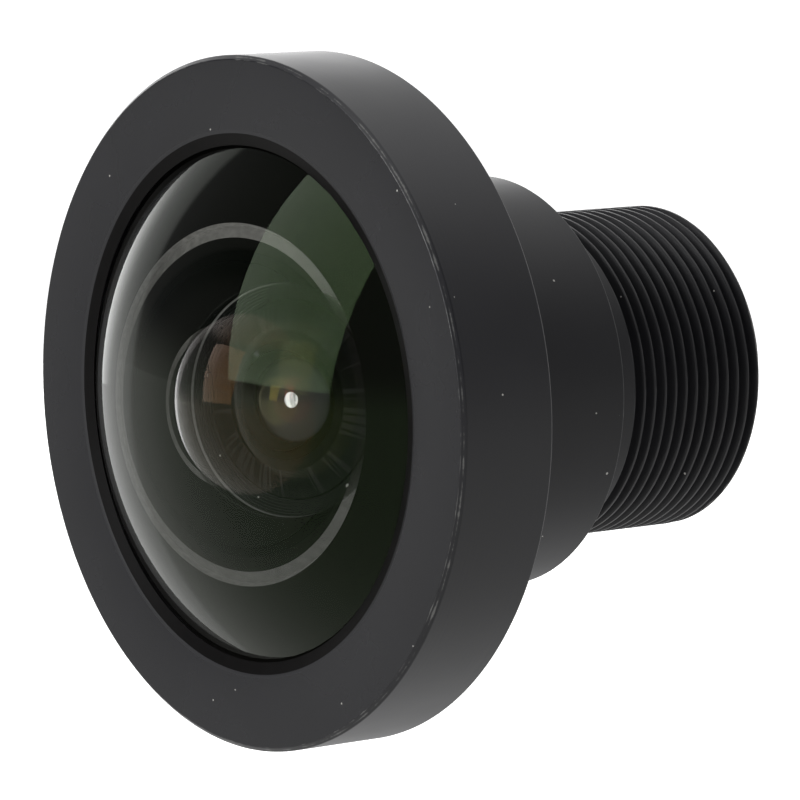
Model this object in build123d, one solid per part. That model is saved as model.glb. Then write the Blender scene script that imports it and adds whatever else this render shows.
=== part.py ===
from build123d import *
import math
import os

# Fisheye lens with a domed front element, a round hood and a fine mount thread.
# Millimetres. The optical axis is Y, the front looks toward -Y and +Z is up.
# The origin is on the axis, where the mount thread begins.
# A height is how far a curved glass face rises over its clear radius.

# Front element
dome_edge_radius = 9.90
dome_height = 3.87
dome_edge_thickness = 1.03
dome_bevel = 0.08
bowl_depth = 3.65
ground_ring_width = 0.21
ground_ring_length = 0.35

# Hood
hood_glass_clearance = 0.10
hood_wall = 1.85
hood_edge_chamfer = 0.15
hood_rear_chamfer = 0.08
lip_cover = 0.82
lip_bevel_width = 0.41
lip_bevel_depth = 0.17
lip_glass_gap = 0.10
hood_step_gap = 0.15

# Gasket under the lip of the hood
gasket_thickness = 0.06
gasket_lift = 0.02
gasket_margin = 0.12

# Nose of the barrel, which the hood screws onto
nose_step = 0.35
nose_thickness = 1.65
nose_recess = 0.30
nose_chamfer = 0.08
glass_seat_gap = 0.05

# Seal ring in the face of the nose
seal_inset = 0.95
seal_width = 0.66
seal_groove_depth = 0.50
seal_side_gap = 0.08
seal_rounding = 0.15

# Mount thread and the plain land in front of it
mount_crest_radius = 5.95
mount_pitch = 0.50
mount_depth = 0.307
mount_length = 6.28
mount_run_in = 0.105
mount_end_chamfer = 0.28
land_length = 1.78
shoulder_width = 1.50
shoulder_chamfer = 0.06

# Hood thread and ring thread, each a pair that runs with a gap
hood_pitch = 0.50
hood_thread_depth = 0.25
ring_pitch = 0.35
ring_thread_depth = 0.19
thread_radial_gap = 0.05
thread_flank_gap = 0.02
thread_relief = 0.05

# Walls, bores and steps of the barrel
body_wall = 1.42
third_bore_step = 1.33
rear_wall = 0.793
rear_bore_step = 0.32
doublet_bore_step = 0.79
piece_clearance = 0.03
ring_step_gap = 0.05
rear_recess = 1.37

# Spacers, stops and washer
spacer_mouth_wall = 0.58
spacer_relief = 0.10
first_spacer_length = 2.10
second_spacer_length = 0.45
baffle_count = 8
baffle_depth = 0.07
stop_sheet_thickness = 0.05
aperture_thickness = 0.10
aperture_radius = 0.50
aperture_land = 0.03
aperture_flare = 0.12
washer_thickness = 0.10
washer_width = 1.05

# Retaining ring at the rear
ring_thickness = 1.30
ring_wall = 1.35
ring_chamfer = 0.06
ring_slot_width = 0.80
ring_slot_depth = 0.50

# Inner elements and the filter, from front to rear
second_edge_thickness = 1.60
second_front_height = 1.08
second_front_seat = 1.20
second_bowl_depth = 1.90
second_rear_seat = 3.05
third_edge_thickness = 1.20
third_front_height = 0.80
third_rear_height = 0.60
third_seat = 1.35
fourth_edge_thickness = 0.80
fourth_front_height = 0.60
fourth_seat = 1.15
cement_height = 1.17
fifth_edge_thickness = 2.70
fifth_bowl_depth = 0.46
fifth_seat = 0.85
sixth_edge_thickness = 1.50
sixth_front_height = 0.98
sixth_rear_height = 0.74
sixth_seat = 0.90
filter_thickness = 0.30
element_bevel = 0.06

# Air between the middles of neighbouring faces
third_to_stop_air = 0.20
stop_to_fourth_air = 0.30
fifth_to_sixth_air = 0.28
sixth_to_filter_air = 0.61

# Every cut runs past the face that it opens by this much
overrun = 0.05

# Radii that follow from the sizes above
dome_clear_radius = dome_edge_radius - dome_bevel
hood_bore_radius = dome_edge_radius + hood_glass_clearance
nose_crest_radius = hood_bore_radius + nose_step
hood_root_radius = nose_crest_radius + thread_radial_gap
hood_minor_radius = hood_root_radius - hood_thread_depth
hood_radius = hood_root_radius + hood_wall
lip_radius = dome_edge_radius - lip_cover
window_radius = lip_radius + lip_bevel_width
seal_radius = dome_edge_radius - seal_inset
body_radius = mount_crest_radius + shoulder_width
front_bore_radius = body_radius - body_wall
third_bore_radius = front_bore_radius - third_bore_step
ring_root_radius = mount_crest_radius - mount_depth - rear_wall
ring_minor_radius = ring_root_radius - ring_thread_depth
ring_crest_radius = ring_root_radius - thread_radial_gap
rear_bore_radius = ring_root_radius - rear_bore_step
doublet_bore_radius = rear_bore_radius - doublet_bore_step
mouth_radius = front_bore_radius - spacer_mouth_wall
ground_ring_radius = mouth_radius - piece_clearance
bowl_radius = ground_ring_radius - ground_ring_width
front_piece_radius = front_bore_radius - piece_clearance
third_piece_radius = third_bore_radius - piece_clearance
doublet_piece_radius = doublet_bore_radius - piece_clearance
rear_piece_radius = rear_bore_radius - piece_clearance
second_clear_radius = front_piece_radius - second_front_seat
second_bowl_radius = front_piece_radius - second_rear_seat
third_clear_radius = third_piece_radius - third_seat
fourth_clear_radius = doublet_piece_radius - fourth_seat
cement_radius = doublet_piece_radius - element_bevel
fifth_bowl_radius = doublet_piece_radius - fifth_seat
sixth_clear_radius = rear_piece_radius - sixth_seat
throat_radius = second_clear_radius + spacer_relief
web_opening_radius = fourth_clear_radius + spacer_relief

# Lengths that follow from the curved faces on either side
third_spacer_length = third_rear_height + third_to_stop_air
web_thickness = fourth_front_height + stop_to_fourth_air
fourth_spacer_length = sixth_front_height - fifth_bowl_depth + fifth_to_sixth_air
fifth_spacer_length = sixth_rear_height + sixth_to_filter_air

# Stations along the axis, worked forward from the rear end of the thread
mount_end_y = mount_length
ring_rear_y = mount_end_y - rear_recess
ring_front_y = ring_rear_y - ring_thickness
filter_rear_y = ring_front_y - washer_thickness
filter_front_y = filter_rear_y - filter_thickness
sixth_rear_y = filter_front_y - fifth_spacer_length
sixth_front_y = sixth_rear_y - sixth_edge_thickness
rear_stop_y = sixth_front_y - fourth_spacer_length
fifth_rear_y = rear_stop_y - stop_sheet_thickness
fifth_front_y = fifth_rear_y - fifth_edge_thickness
fourth_front_y = fifth_front_y - fourth_edge_thickness
web_front_y = fourth_front_y - web_thickness
aperture_front_y = web_front_y - aperture_thickness
third_rear_y = aperture_front_y - third_spacer_length
third_front_y = third_rear_y - third_edge_thickness
second_spacer_y = third_front_y - second_spacer_length
second_rear_y = second_spacer_y - stop_sheet_thickness
second_front_y = second_rear_y - second_edge_thickness
dome_rear_y = second_front_y - first_spacer_length
dome_front_y = dome_rear_y - dome_edge_thickness
nose_front_y = dome_rear_y + glass_seat_gap
nose_rear_y = nose_front_y + nose_thickness
hood_rear_y = nose_rear_y + nose_recess
shoulder_y = -land_length


def face_y(radius_out, edge_y, clear_radius, height):
    """Place of a curved face at radius_out. A height above zero bulges to the front."""
    rise = abs(height)
    size = (clear_radius**2 + rise**2) / (2 * rise)
    drop = size - math.sqrt(size**2 - radius_out**2)
    return edge_y - height + math.copysign(drop, height)


def face_arc(edge_y, clear_radius, height):
    """Arc from the axis out to clear_radius, where it meets the plane at edge_y."""
    middle = clear_radius / 2
    middle_y = face_y(middle, edge_y, clear_radius, height)
    return ThreePointArc((0, edge_y - height), (middle, middle_y), (clear_radius, edge_y))


def turned(points):
    """Solid turned about the optical axis from its (radius, place) points."""
    return revolve(make_face(Polyline(*points, close=True)), axis=Axis.Y)


def broken_corners(outer, front_y, rear_y, bevel):
    """Points of an outer wall whose two corners are broken by bevel."""
    return [
        (outer - bevel, front_y),
        (outer, front_y + bevel),
        (outer, rear_y - bevel),
        (outer - bevel, rear_y),
    ]


def plain_ring(outer, inner, front_y, rear_y, bevel=0.0):
    """Ring with square inner corners."""
    wall = broken_corners(outer, front_y, rear_y, bevel)
    if not bevel:
        wall = [(outer, front_y), (outer, rear_y)]
    return turned([(inner, front_y), *wall, (inner, rear_y)])


def element(edge_radius, front, rear):
    """Ground element. front and rear hold (place, clear radius, height) of its faces."""
    points = broken_corners(edge_radius, front[0], rear[0], element_bevel)
    front_edge = (front[1], front[0])
    rear_edge = (rear[1], rear[0])
    if front_edge[0] < points[0][0]:
        points.insert(0, front_edge)
    if rear_edge[0] < points[-1][0]:
        points.append(rear_edge)
    axis_line = Line((0, rear[0] - rear[2]), (0, front[0] - front[2]))
    outline = [face_arc(*front), Polyline(*points), face_arc(*rear), axis_line]
    return revolve(make_face(outline), axis=Axis.Y)


def thread_cut(crest, root, pitch, start_y, end_y, flank_gap=0.0):
    """Groove of a right-hand thread, open at the crest radius and cut down to the root."""
    depth = abs(crest - root)
    side = math.copysign(1, crest - root)
    slope = math.tan(math.radians(30))
    root_half = (pitch - 2 * depth * slope) / 4 + flank_gap
    reach = depth + overrun
    open_half = root_half + reach * slope
    turns = []
    for index in range(math.ceil((end_y - start_y) / pitch)):
        centre = (0, start_y + index * pitch, 0)
        turns.append(Helix(pitch, pitch, root, center=centre, direction=(0, 1, 0)))
    path = Wire(turns)
    start = path @ 0
    outward = Vector(start.X, 0, start.Z).normalized()
    plane = Plane(origin=start, x_dir=outward, z_dir=path % 0)
    corners = [(0, -root_half), (side * reach, -open_half), (side * reach, open_half), (0, root_half)]
    return sweep(plane * make_face(Polyline(*corners, close=True)), path=path, is_frenet=True)


dome_face = (dome_front_y, dome_clear_radius, dome_height)
lip_y = face_y(lip_radius, *dome_face) - lip_glass_gap
hood_front_y = lip_y - lip_bevel_depth


def make_front_element():
    """Domed meniscus with a flat rear seat, a ground cone inside it and a deep bowl behind."""
    bowl_y = dome_rear_y + ground_ring_length
    points = [
        *broken_corners(dome_edge_radius, dome_front_y, dome_rear_y, dome_bevel),
        (ground_ring_radius, dome_rear_y),
        (bowl_radius, bowl_y),
    ]
    axis_line = Line((0, bowl_y - bowl_depth), (0, dome_front_y - dome_height))
    bowl_arc = face_arc(bowl_y, bowl_radius, bowl_depth)
    outline = [face_arc(*dome_face), Polyline(*points), bowl_arc, axis_line]
    return revolve(make_face(outline), axis=Axis.Y)


def make_front_hood():
    """Round hood with a lip over the glass and a thread inside its rear."""
    step_y = nose_front_y - hood_step_gap
    relief_y = nose_front_y + hood_pitch
    relief_radius = hood_root_radius + thread_relief
    body = turned(
        [
            (window_radius, hood_front_y),
            (hood_radius - hood_edge_chamfer, hood_front_y),
            (hood_radius, hood_front_y + hood_edge_chamfer),
            (hood_radius, hood_rear_y - hood_rear_chamfer),
            (hood_radius - hood_rear_chamfer, hood_rear_y),
            (relief_radius, hood_rear_y),
            (hood_minor_radius, hood_rear_y - relief_radius + hood_minor_radius),
            (hood_minor_radius, relief_y),
            (relief_radius, relief_y),
            (relief_radius, step_y),
            (hood_bore_radius, step_y),
            (hood_bore_radius, dome_front_y - lip_glass_gap + dome_bevel),
            (lip_radius, lip_y),
        ]
    )
    start_y = nose_front_y + hood_pitch / 2
    end_y = hood_rear_y + hood_pitch
    return body - thread_cut(
        hood_minor_radius, hood_root_radius, hood_pitch, start_y, end_y, thread_flank_gap
    )


def make_lip_gasket():
    """Thin sloping ring that keeps the lip off the glass."""
    inner = lip_radius + gasket_margin
    outer = dome_clear_radius - gasket_margin
    inner_y = face_y(inner, *dome_face) - gasket_lift
    outer_y = face_y(outer, *dome_face) - gasket_lift
    return turned(
        [
            (inner, inner_y - gasket_thickness),
            (outer, outer_y - gasket_thickness),
            (outer, outer_y),
            (inner, inner_y),
        ]
    )


def make_front_seal():
    """Seal ring pressed between its groove and the rear of the front element."""
    half = seal_width / 2
    front_y = dome_rear_y
    rear_y = nose_front_y + seal_groove_depth
    return turned(
        [
            (seal_radius - half + seal_rounding, front_y),
            *broken_corners(seal_radius + half, front_y, rear_y, seal_rounding),
            (seal_radius - half + seal_rounding, rear_y),
            (seal_radius - half, rear_y - seal_rounding),
            (seal_radius - half, front_y + seal_rounding),
        ]
    )


def make_barrel():
    """Stepped barrel with a threaded nose, a web in the middle and the mount thread."""
    groove_half = seal_width / 2 + seal_side_gap
    groove_y = nose_front_y + seal_groove_depth
    ring_relief_y = ring_front_y + ring_pitch
    ring_step_y = ring_front_y - ring_step_gap
    ring_relief_radius = ring_root_radius + thread_relief
    body = turned(
        [
            (front_bore_radius, nose_front_y),
            (seal_radius - groove_half, nose_front_y),
            (seal_radius - groove_half, groove_y),
            (seal_radius + groove_half, groove_y),
            (seal_radius + groove_half, nose_front_y),
            *broken_corners(nose_crest_radius, nose_front_y, nose_rear_y, nose_chamfer),
            (body_radius, nose_rear_y),
            (body_radius, shoulder_y - shoulder_chamfer),
            (body_radius - shoulder_chamfer, shoulder_y),
            (mount_crest_radius, shoulder_y),
            (mount_crest_radius, mount_end_y - mount_end_chamfer),
            (mount_crest_radius - mount_end_chamfer, mount_end_y),
            (ring_relief_radius, mount_end_y),
            (ring_minor_radius, mount_end_y - ring_relief_radius + ring_minor_radius),
            (ring_minor_radius, ring_relief_y),
            (ring_relief_radius, ring_relief_y),
            (ring_relief_radius, ring_step_y),
            (rear_bore_radius, ring_step_y),
            (rear_bore_radius, fifth_rear_y),
            (doublet_bore_radius, fifth_rear_y),
            (doublet_bore_radius, fourth_front_y),
            (web_opening_radius, fourth_front_y),
            (web_opening_radius, web_front_y),
            (third_bore_radius, web_front_y),
            (third_bore_radius, third_front_y),
            (front_bore_radius, third_front_y),
        ]
    )
    mount_cut = thread_cut(
        mount_crest_radius,
        mount_crest_radius - mount_depth,
        mount_pitch,
        mount_run_in,
        mount_end_y + mount_pitch,
    )
    nose_cut = thread_cut(
        nose_crest_radius,
        nose_crest_radius - hood_thread_depth,
        hood_pitch,
        nose_front_y - hood_pitch,
        nose_rear_y + hood_pitch,
        thread_flank_gap,
    )
    ring_cut = thread_cut(
        ring_minor_radius,
        ring_root_radius,
        ring_pitch,
        ring_front_y + ring_pitch / 2,
        mount_end_y + ring_pitch,
        thread_flank_gap,
    )
    return body - mount_cut - nose_cut - ring_cut


def make_first_spacer():
    """Spacer whose funnel is turned into fine baffle steps."""
    step = first_spacer_length / baffle_count
    shrink = (mouth_radius - throat_radius) / baffle_count
    funnel = []
    for index in range(baffle_count):
        crest = mouth_radius - index * shrink
        start_y = dome_rear_y + index * step
        funnel.append((crest, start_y))
        funnel.append((crest + baffle_depth, start_y + step / 2))
    funnel.append((throat_radius, second_front_y))
    wall = broken_corners(front_piece_radius, dome_rear_y, second_front_y, element_bevel)
    return turned([*wall, *reversed(funnel)])


def make_second_element():
    """Meniscus with a shallow front and a steep bowl behind."""
    front = (second_front_y, second_clear_radius, second_front_height)
    rear = (second_rear_y, second_bowl_radius, second_bowl_depth)
    return element(front_piece_radius, front, rear)


def make_front_stop():
    """Thin sheet that cuts stray light behind the second element."""
    opening = second_bowl_radius + spacer_relief
    return plain_ring(front_piece_radius, opening, second_rear_y, second_spacer_y)


def make_second_spacer():
    """Flat spacer that rests on the third element and the step around it."""
    opening = third_clear_radius + spacer_relief
    return plain_ring(front_piece_radius, opening, second_spacer_y, third_front_y, element_bevel)


def make_third_element():
    """Element that bulges on both faces."""
    front = (third_front_y, third_clear_radius, third_front_height)
    rear = (third_rear_y, third_clear_radius, -third_rear_height)
    return element(third_piece_radius, front, rear)


def make_third_spacer():
    """Spacer between the third element and the aperture stop."""
    opening = third_clear_radius + spacer_relief
    return plain_ring(third_piece_radius, opening, third_rear_y, aperture_front_y, element_bevel)


def make_aperture_stop():
    """Thin disc with the round opening that limits the light."""
    return turned(
        [
            (aperture_radius, aperture_front_y),
            (third_piece_radius, aperture_front_y),
            (third_piece_radius, web_front_y),
            (aperture_radius + aperture_flare, web_front_y),
            (aperture_radius, aperture_front_y + aperture_land),
        ]
    )


def make_fourth_element():
    """Front half of the cemented pair."""
    front = (fourth_front_y, fourth_clear_radius, fourth_front_height)
    rear = (fifth_front_y, cement_radius, -cement_height)
    return element(doublet_piece_radius, front, rear)


def make_fifth_element():
    """Rear half of the cemented pair, which fits the face in front of it."""
    front = (fifth_front_y, cement_radius, -cement_height)
    rear = (fifth_rear_y, fifth_bowl_radius, fifth_bowl_depth)
    return element(doublet_piece_radius, front, rear)


def make_rear_stop():
    """Thin sheet that cuts stray light behind the cemented pair."""
    opening = fifth_bowl_radius + spacer_relief
    return plain_ring(rear_piece_radius, opening, fifth_rear_y, rear_stop_y)


def make_fourth_spacer():
    """Spacer with an opening that widens toward the sixth element."""
    return turned(
        [
            (fifth_bowl_radius + spacer_relief, rear_stop_y),
            *broken_corners(rear_piece_radius, rear_stop_y, sixth_front_y, element_bevel),
            (sixth_clear_radius + spacer_relief, sixth_front_y),
        ]
    )


def make_sixth_element():
    """Rear element, which bulges on both faces."""
    front = (sixth_front_y, sixth_clear_radius, sixth_front_height)
    rear = (sixth_rear_y, sixth_clear_radius, -sixth_rear_height)
    return element(rear_piece_radius, front, rear)


def make_fifth_spacer():
    """Spacer that carries the filter clear of the sixth element."""
    opening = sixth_clear_radius + spacer_relief
    return plain_ring(rear_piece_radius, opening, sixth_rear_y, filter_front_y, element_bevel)


def make_rear_filter():
    """Flat round filter plate."""
    wall = broken_corners(rear_piece_radius, filter_front_y, filter_rear_y, element_bevel)
    return turned([(0, filter_front_y), *wall, (0, filter_rear_y)])


def make_slip_washer():
    """Thin washer that lets the retaining ring turn without rubbing the filter."""
    opening = rear_piece_radius - washer_width
    return plain_ring(rear_piece_radius, opening, filter_rear_y, ring_front_y)


def make_retaining_ring():
    """Threaded ring with two slots for a spanner in its rear face."""
    opening = ring_crest_radius - ring_wall
    body = plain_ring(ring_crest_radius, opening, ring_front_y, ring_rear_y, ring_chamfer)
    body -= thread_cut(
        ring_crest_radius,
        ring_crest_radius - ring_thread_depth,
        ring_pitch,
        ring_front_y - ring_pitch,
        ring_rear_y + ring_pitch,
        thread_flank_gap,
    )
    slot_y = ring_rear_y - (ring_slot_depth - overrun) / 2
    slot = Box(2 * (ring_crest_radius + overrun), ring_slot_depth + overrun, ring_slot_width)
    return body - Pos(0, slot_y, 0) * slot


makers = {
    "front_hood": make_front_hood,
    "lip_gasket": make_lip_gasket,
    "front_element": make_front_element,
    "front_seal": make_front_seal,
    "barrel": make_barrel,
    "first_spacer": make_first_spacer,
    "second_element": make_second_element,
    "front_stop_sheet": make_front_stop,
    "second_spacer": make_second_spacer,
    "third_element": make_third_element,
    "third_spacer": make_third_spacer,
    "aperture_stop": make_aperture_stop,
    "fourth_element": make_fourth_element,
    "fifth_element": make_fifth_element,
    "rear_stop_sheet": make_rear_stop,
    "fourth_spacer": make_fourth_spacer,
    "sixth_element": make_sixth_element,
    "fifth_spacer": make_fifth_spacer,
    "rear_filter": make_rear_filter,
    "slip_washer": make_slip_washer,
    "retaining_ring": make_retaining_ring,
}

os.makedirs("parts", exist_ok=True)
for name, make in makers.items():
    export_step(make(), f"parts/{name}.step")
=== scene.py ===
import math

import bmesh
import bpy
from bpy.props import FloatProperty, FloatVectorProperty, IntProperty, PointerProperty
from mathutils import Matrix, Vector


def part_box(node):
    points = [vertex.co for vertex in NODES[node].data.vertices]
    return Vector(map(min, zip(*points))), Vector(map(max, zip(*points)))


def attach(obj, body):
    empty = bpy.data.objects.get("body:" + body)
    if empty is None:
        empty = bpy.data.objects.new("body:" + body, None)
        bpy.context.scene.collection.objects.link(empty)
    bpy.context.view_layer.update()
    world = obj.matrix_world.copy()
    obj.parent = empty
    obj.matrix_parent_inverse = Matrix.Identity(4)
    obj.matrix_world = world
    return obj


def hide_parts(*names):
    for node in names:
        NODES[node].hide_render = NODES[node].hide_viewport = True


bl_info = {
    "name": "Fisheye Lens Builder",
    "version": (1, 0, 0),
    "blender": (4, 5, 0),
    "location": "View3D > Sidebar > Lens",
    "description": "Builds the glass, metalwork, finishes and studio of a small fisheye lens",
    "category": "Object",
}

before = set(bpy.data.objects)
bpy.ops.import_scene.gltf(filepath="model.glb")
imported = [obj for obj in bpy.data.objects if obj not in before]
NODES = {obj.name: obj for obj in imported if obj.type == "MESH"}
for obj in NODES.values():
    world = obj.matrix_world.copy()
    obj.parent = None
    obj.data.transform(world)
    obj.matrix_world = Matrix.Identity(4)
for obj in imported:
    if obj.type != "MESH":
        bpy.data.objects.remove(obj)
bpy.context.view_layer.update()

MM = 0.001
FULL_TURN = 2 * math.pi
FLANK_SLOPE = math.tan(math.radians(30))
SMALL = 1e-9
FLANK_GAP = 0.02 * MM
SEAT_CLEARANCE = 0.003 * MM
HOOD_ROUND = 0.03 * MM
BARREL_ROUND = 0.025 * MM
THREAD_FADE_TURN = 0.06
CORNER_SHARE = 0.3
HOLD_SHARE = 0.4
HOLD_REACH = 1.5
NEARLY_STRAIGHT = math.radians(165)
SHARP_ANGLE = math.radians(32)
DIM_TURN = math.radians(32)


def length(label, text, millimetres):
    """A size that the panel shows as a length."""
    return FloatProperty(
        name=label, description=text, default=millimetres * MM, min=0, unit="LENGTH", precision=5
    )


def angle(label, text, degrees):
    """An angle that the panel shows in degrees."""
    return FloatProperty(
        name=label, description=text, default=math.radians(degrees), subtype="ANGLE"
    )


def colour(label, text, values):
    """A colour without alpha."""
    return FloatVectorProperty(
        name=label, description=text, default=values, size=3, min=0, max=1, subtype="COLOR"
    )


def amount(label, text, value, top=1.0):
    """A plain number from zero up."""
    return FloatProperty(name=label, description=text, default=value, min=0, max=top)


class HoodSizes(bpy.types.PropertyGroup):
    window_radius: length("Window radius", "Outer edge of the bevel round the glass", 9.49)
    lip_radius: length("Lip radius", "Inner edge of the bevel round the glass", 9.08)
    lip_depth: length("Lip depth", "Depth of the bevel round the glass", 0.17)
    edge_round: length("Edge round", "Round between the bevel and the flat face", 0.16)
    bore_radius: length("Bore radius", "Bore that clears the front glass", 10.00)
    thread_root: length("Thread root radius", "Deepest radius of the thread inside", 10.40)
    thread_depth: length("Thread depth", "Depth of the thread inside", 0.25)
    thread_pitch: length("Thread pitch", "Travel in one turn", 0.50)
    thread_relief: length("Thread relief", "Extra depth past the thread", 0.05)
    edge_chamfer: length("Edge chamfer", "Chamfer of the front outer edge", 0.15)
    rear_chamfer: length("Rear chamfer", "Chamfer of the rear outer edge", 0.08)
    step_gap: length("Step gap", "Gap from the hood's step to the nose", 0.15)


class GlassSizes(bpy.types.PropertyGroup):
    dome_height: length("Dome height", "Rise of the front face over its clear radius", 3.87)
    dome_bevel: length("Dome bevel", "Ground bevel of the front glass", 0.08)
    edge_thickness: length("Edge thickness", "Thickness of the front glass at its edge", 1.03)
    bowl_radius: length("Bowl radius", "Radius of the hollow behind the front glass", 5.21)
    bowl_depth: length("Bowl depth", "Depth of the hollow behind the front glass", 3.65)
    ring_radius: length("Ring radius", "Outer edge of the ground ring round the bowl", 5.42)
    ring_length: length("Ring length", "Length of the ground ring along the axis", 0.35)
    mouth_radius: length("Mouth radius", "Wide end of the black funnel behind the glass", 5.45)
    throat_radius: length("Throat radius", "Narrow end of the black funnel", 4.90)
    step_height: length("Step height", "Height of the funnel's turned steps", 0.07)
    bevel: length("Bevel", "Ground bevel of the inner elements", 0.06)


class BarrelSizes(bpy.types.PropertyGroup):
    nose_thickness: length("Nose thickness", "Thickness of the threaded nose", 1.65)
    nose_chamfer: length("Nose chamfer", "Chamfer of the nose", 0.08)
    nose_depth: length("Nose thread depth", "Depth of the thread on the nose", 0.25)
    nose_pitch: length("Nose pitch", "Travel of the nose thread in one turn", 0.50)
    seal_radius: length("Seal radius", "Middle radius of the groove for the seal", 8.95)
    seal_half: length("Half groove", "Half the width of the groove for the seal", 0.41)
    seal_depth: length("Groove depth", "Depth of the groove for the seal", 0.50)
    body_radius: length("Body radius", "Radius of the plain barrel", 7.45)
    shoulder_chamfer: length("Shoulder chamfer", "Chamfer of the shoulder", 0.06)
    land_length: length("Land length", "Plain land in front of the mount thread", 1.78)
    crest_radius: length("Crest radius", "Outer radius of the mount thread", 5.95)
    mount_depth: length("Mount depth", "Depth of the mount thread", 0.307)
    mount_pitch: length("Mount pitch", "Travel of the mount thread in one turn", 0.50)
    mount_run_in: length("Thread run-in", "Middle of the mount thread's groove at its start", 0.105)
    end_chamfer: length("End chamfer", "Chamfer at the end of the mount thread", 0.28)
    ring_root: length("Ring root radius", "Deepest radius of the rear internal thread", 4.85)
    ring_depth: length("Ring depth", "Depth of the rear internal thread", 0.19)
    ring_pitch: length("Ring pitch", "Travel of the retaining ring in one turn", 0.35)
    web_opening: length("Web opening", "Opening between the third and fourth elements", 2.66)
    web_thickness: length("Web thickness", "Thickness of the wall round that opening", 0.90)
    fit_gap: length("Fit gap", "Gap between the bore and what it holds", 0.03)
    relief: length("Relief", "Extra size past the rear internal thread", 0.05)
    ring_opening: length("Ring opening", "Radius of the retaining ring's opening", 3.45)


class Finishes(bpy.types.PropertyGroup):
    hood: colour("Hood", "Anodised black of the hood", (0.0128, 0.0128, 0.0162))
    barrel: colour("Barrel", "Anodised black of the barrel", (0.0135, 0.0135, 0.0160))
    spacer: colour("Spacers", "Matt black of the inner rings", (0.004, 0.004, 0.0042))
    edge_paint: colour("Edge paint", "Black paint behind the dome", (0.011, 0.0108, 0.0095))
    # The lip's black is darker than the hood's own black. It is painted shade on the bevel round
    # the glass, which is the hood's metal.
    lip: colour("Lip", "Hood black darkened as painted shade on the bevel round the glass", (0.0085, 0.0080, 0.0080))
    wear: colour("Wear", "Metal that shows where an edge is worn", (0.13, 0.13, 0.125))
    dust: colour("Dust", "Fine specks of dust", (0.50, 0.49, 0.46))
    ground: colour("Ground glass", "Finely ground glass", (0.135, 0.135, 0.128))
    front_coat: colour("Front coating", "Tint of what the dome reflects", (0.100, 0.160, 0.075))
    bowl_coat: colour("Bowl coating", "Tint of what the bowl reflects", (0.17, 0.075, 0.020))
    brown_coat: colour("Brown coating", "Second element's front face", (0.07, 0.065, 0.015))
    gold_coat: colour("Gold coating", "Second element's rear face", (0.30, 0.25, 0.03))
    red_coat: colour("Red coating", "Third element's front face", (0.34, 0.06, 0.05))
    inner_coat: colour("Inner coating", "Tint of the other inner faces", (0.045, 0.050, 0.014))


class StudioSettings(bpy.types.PropertyGroup):
    camera_turn: angle("Camera turn", "Camera's turn from the front toward +X", 51.16)
    camera_rise: angle("Camera rise", "Camera's height above the axis", 7.08)
    camera_distance: length("Camera distance", "Distance along the view", 185.4)
    aim_across: length("Aim across", "How far left of the middle the hood's centre lies", 5.452)
    aim_down: length("Aim down", "How far below the middle the hood's centre lies", 0.155)
    aim_inset: length("Aim inset", "Depth of the aimed point behind the hood's face", 0.145)
    focal_share: amount("Focal share", "Focal length as a share of the image's width", 6.6075, 50)
    floor_drop: length("Floor drop", "Distance from the axis down to the floor", 60)
    floor_half: length("Floor half", "Half the floor's width", 1500)
    front_turn: angle("Front turn", "Front softbox's turn from the front toward +X", -13)
    front_rise: angle("Front rise", "Front softbox's height above the axis", 28)
    front_distance: length("Front distance", "Distance of the front softbox", 420)
    front_width: length("Front width", "Width of the front softbox", 290)
    front_height: length("Front height", "Height of the front softbox", 420)
    front_radiance: amount("Front radiance", "Brightness of the front softbox", 2.6, 10)
    side_turn: angle("Side turn", "Side softbox's turn from the front toward +X", -118)
    side_rise: angle("Side rise", "Side softbox's height above the axis", 12)
    side_distance: length("Side distance", "Distance of the side softbox", 500)
    side_size: length("Side size", "Width and height of the side softbox", 600)
    side_radiance: amount("Side radiance", "Brightness of the side softbox", 2.3, 10)


class Thread:
    """Helical groove cut into a turned wall. An inside thread is cut outward from its crest."""

    def __init__(self, crest, depth, pitch, start, inside=False, flank_gap=0.0, rounded=False):
        self.crest = crest
        self.depth = depth
        self.pitch = pitch
        self.start = start
        self.inside = inside
        self.rounded = rounded
        self.root_half = (pitch - 2 * depth * FLANK_SLOPE) / 4 + flank_gap

    def radius(self, wall, place, turn):
        """Radius of the wall at a place along the axis and at turn, a share of a full turn."""
        along = (place - self.start) / self.pitch - turn
        groove = round(along)
        if groove < 0:
            return wall
        off_centre = abs(along - groove) * self.pitch
        raised = max(0, off_centre - self.root_half) / FLANK_SLOPE
        fade_in = min(1, (groove + turn) / THREAD_FADE_TURN)
        share = max(0, 1 - raised / self.depth)
        if self.rounded:
            share = share**2 * (3 - 2 * share)
        cut = self.depth * share * fade_in
        if self.inside:
            return max(wall, self.crest + cut)
        return min(wall, self.crest - cut)


def softened(points, size, steps=3, closed=True):
    """Outline with each sharp corner replaced by a small round of about that size.

    A point on each side of the round keeps the shading of the flats even."""
    made = []
    count = len(points)
    for index, point in enumerate(points):
        if not closed and index in (0, count - 1):
            made.append(point)
            continue
        here = Vector(point)
        before = Vector(points[index - 1]) - here
        after = Vector(points[(index + 1) % count]) - here
        if before.length < SMALL or after.length < SMALL:
            continue
        if before.angle(after) > NEARLY_STRAIGHT:
            made.append(point)
            continue
        back, ahead = before.normalized(), after.normalized()
        hold = HOLD_REACH * size
        first = here + back * min(size, before.length * CORNER_SHARE)
        last = here + ahead * min(size, after.length * CORNER_SHARE)
        made.append(tuple(here + back * min(hold, before.length * HOLD_SHARE)))
        for step in range(steps + 1):
            share = step / steps
            spot = first * (1 - share) ** 2 + here * 2 * share * (1 - share) + last * share**2
            made.append(tuple(spot))
        made.append(tuple(here + ahead * min(hold, after.length * HOLD_SHARE)))
    return made


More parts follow.
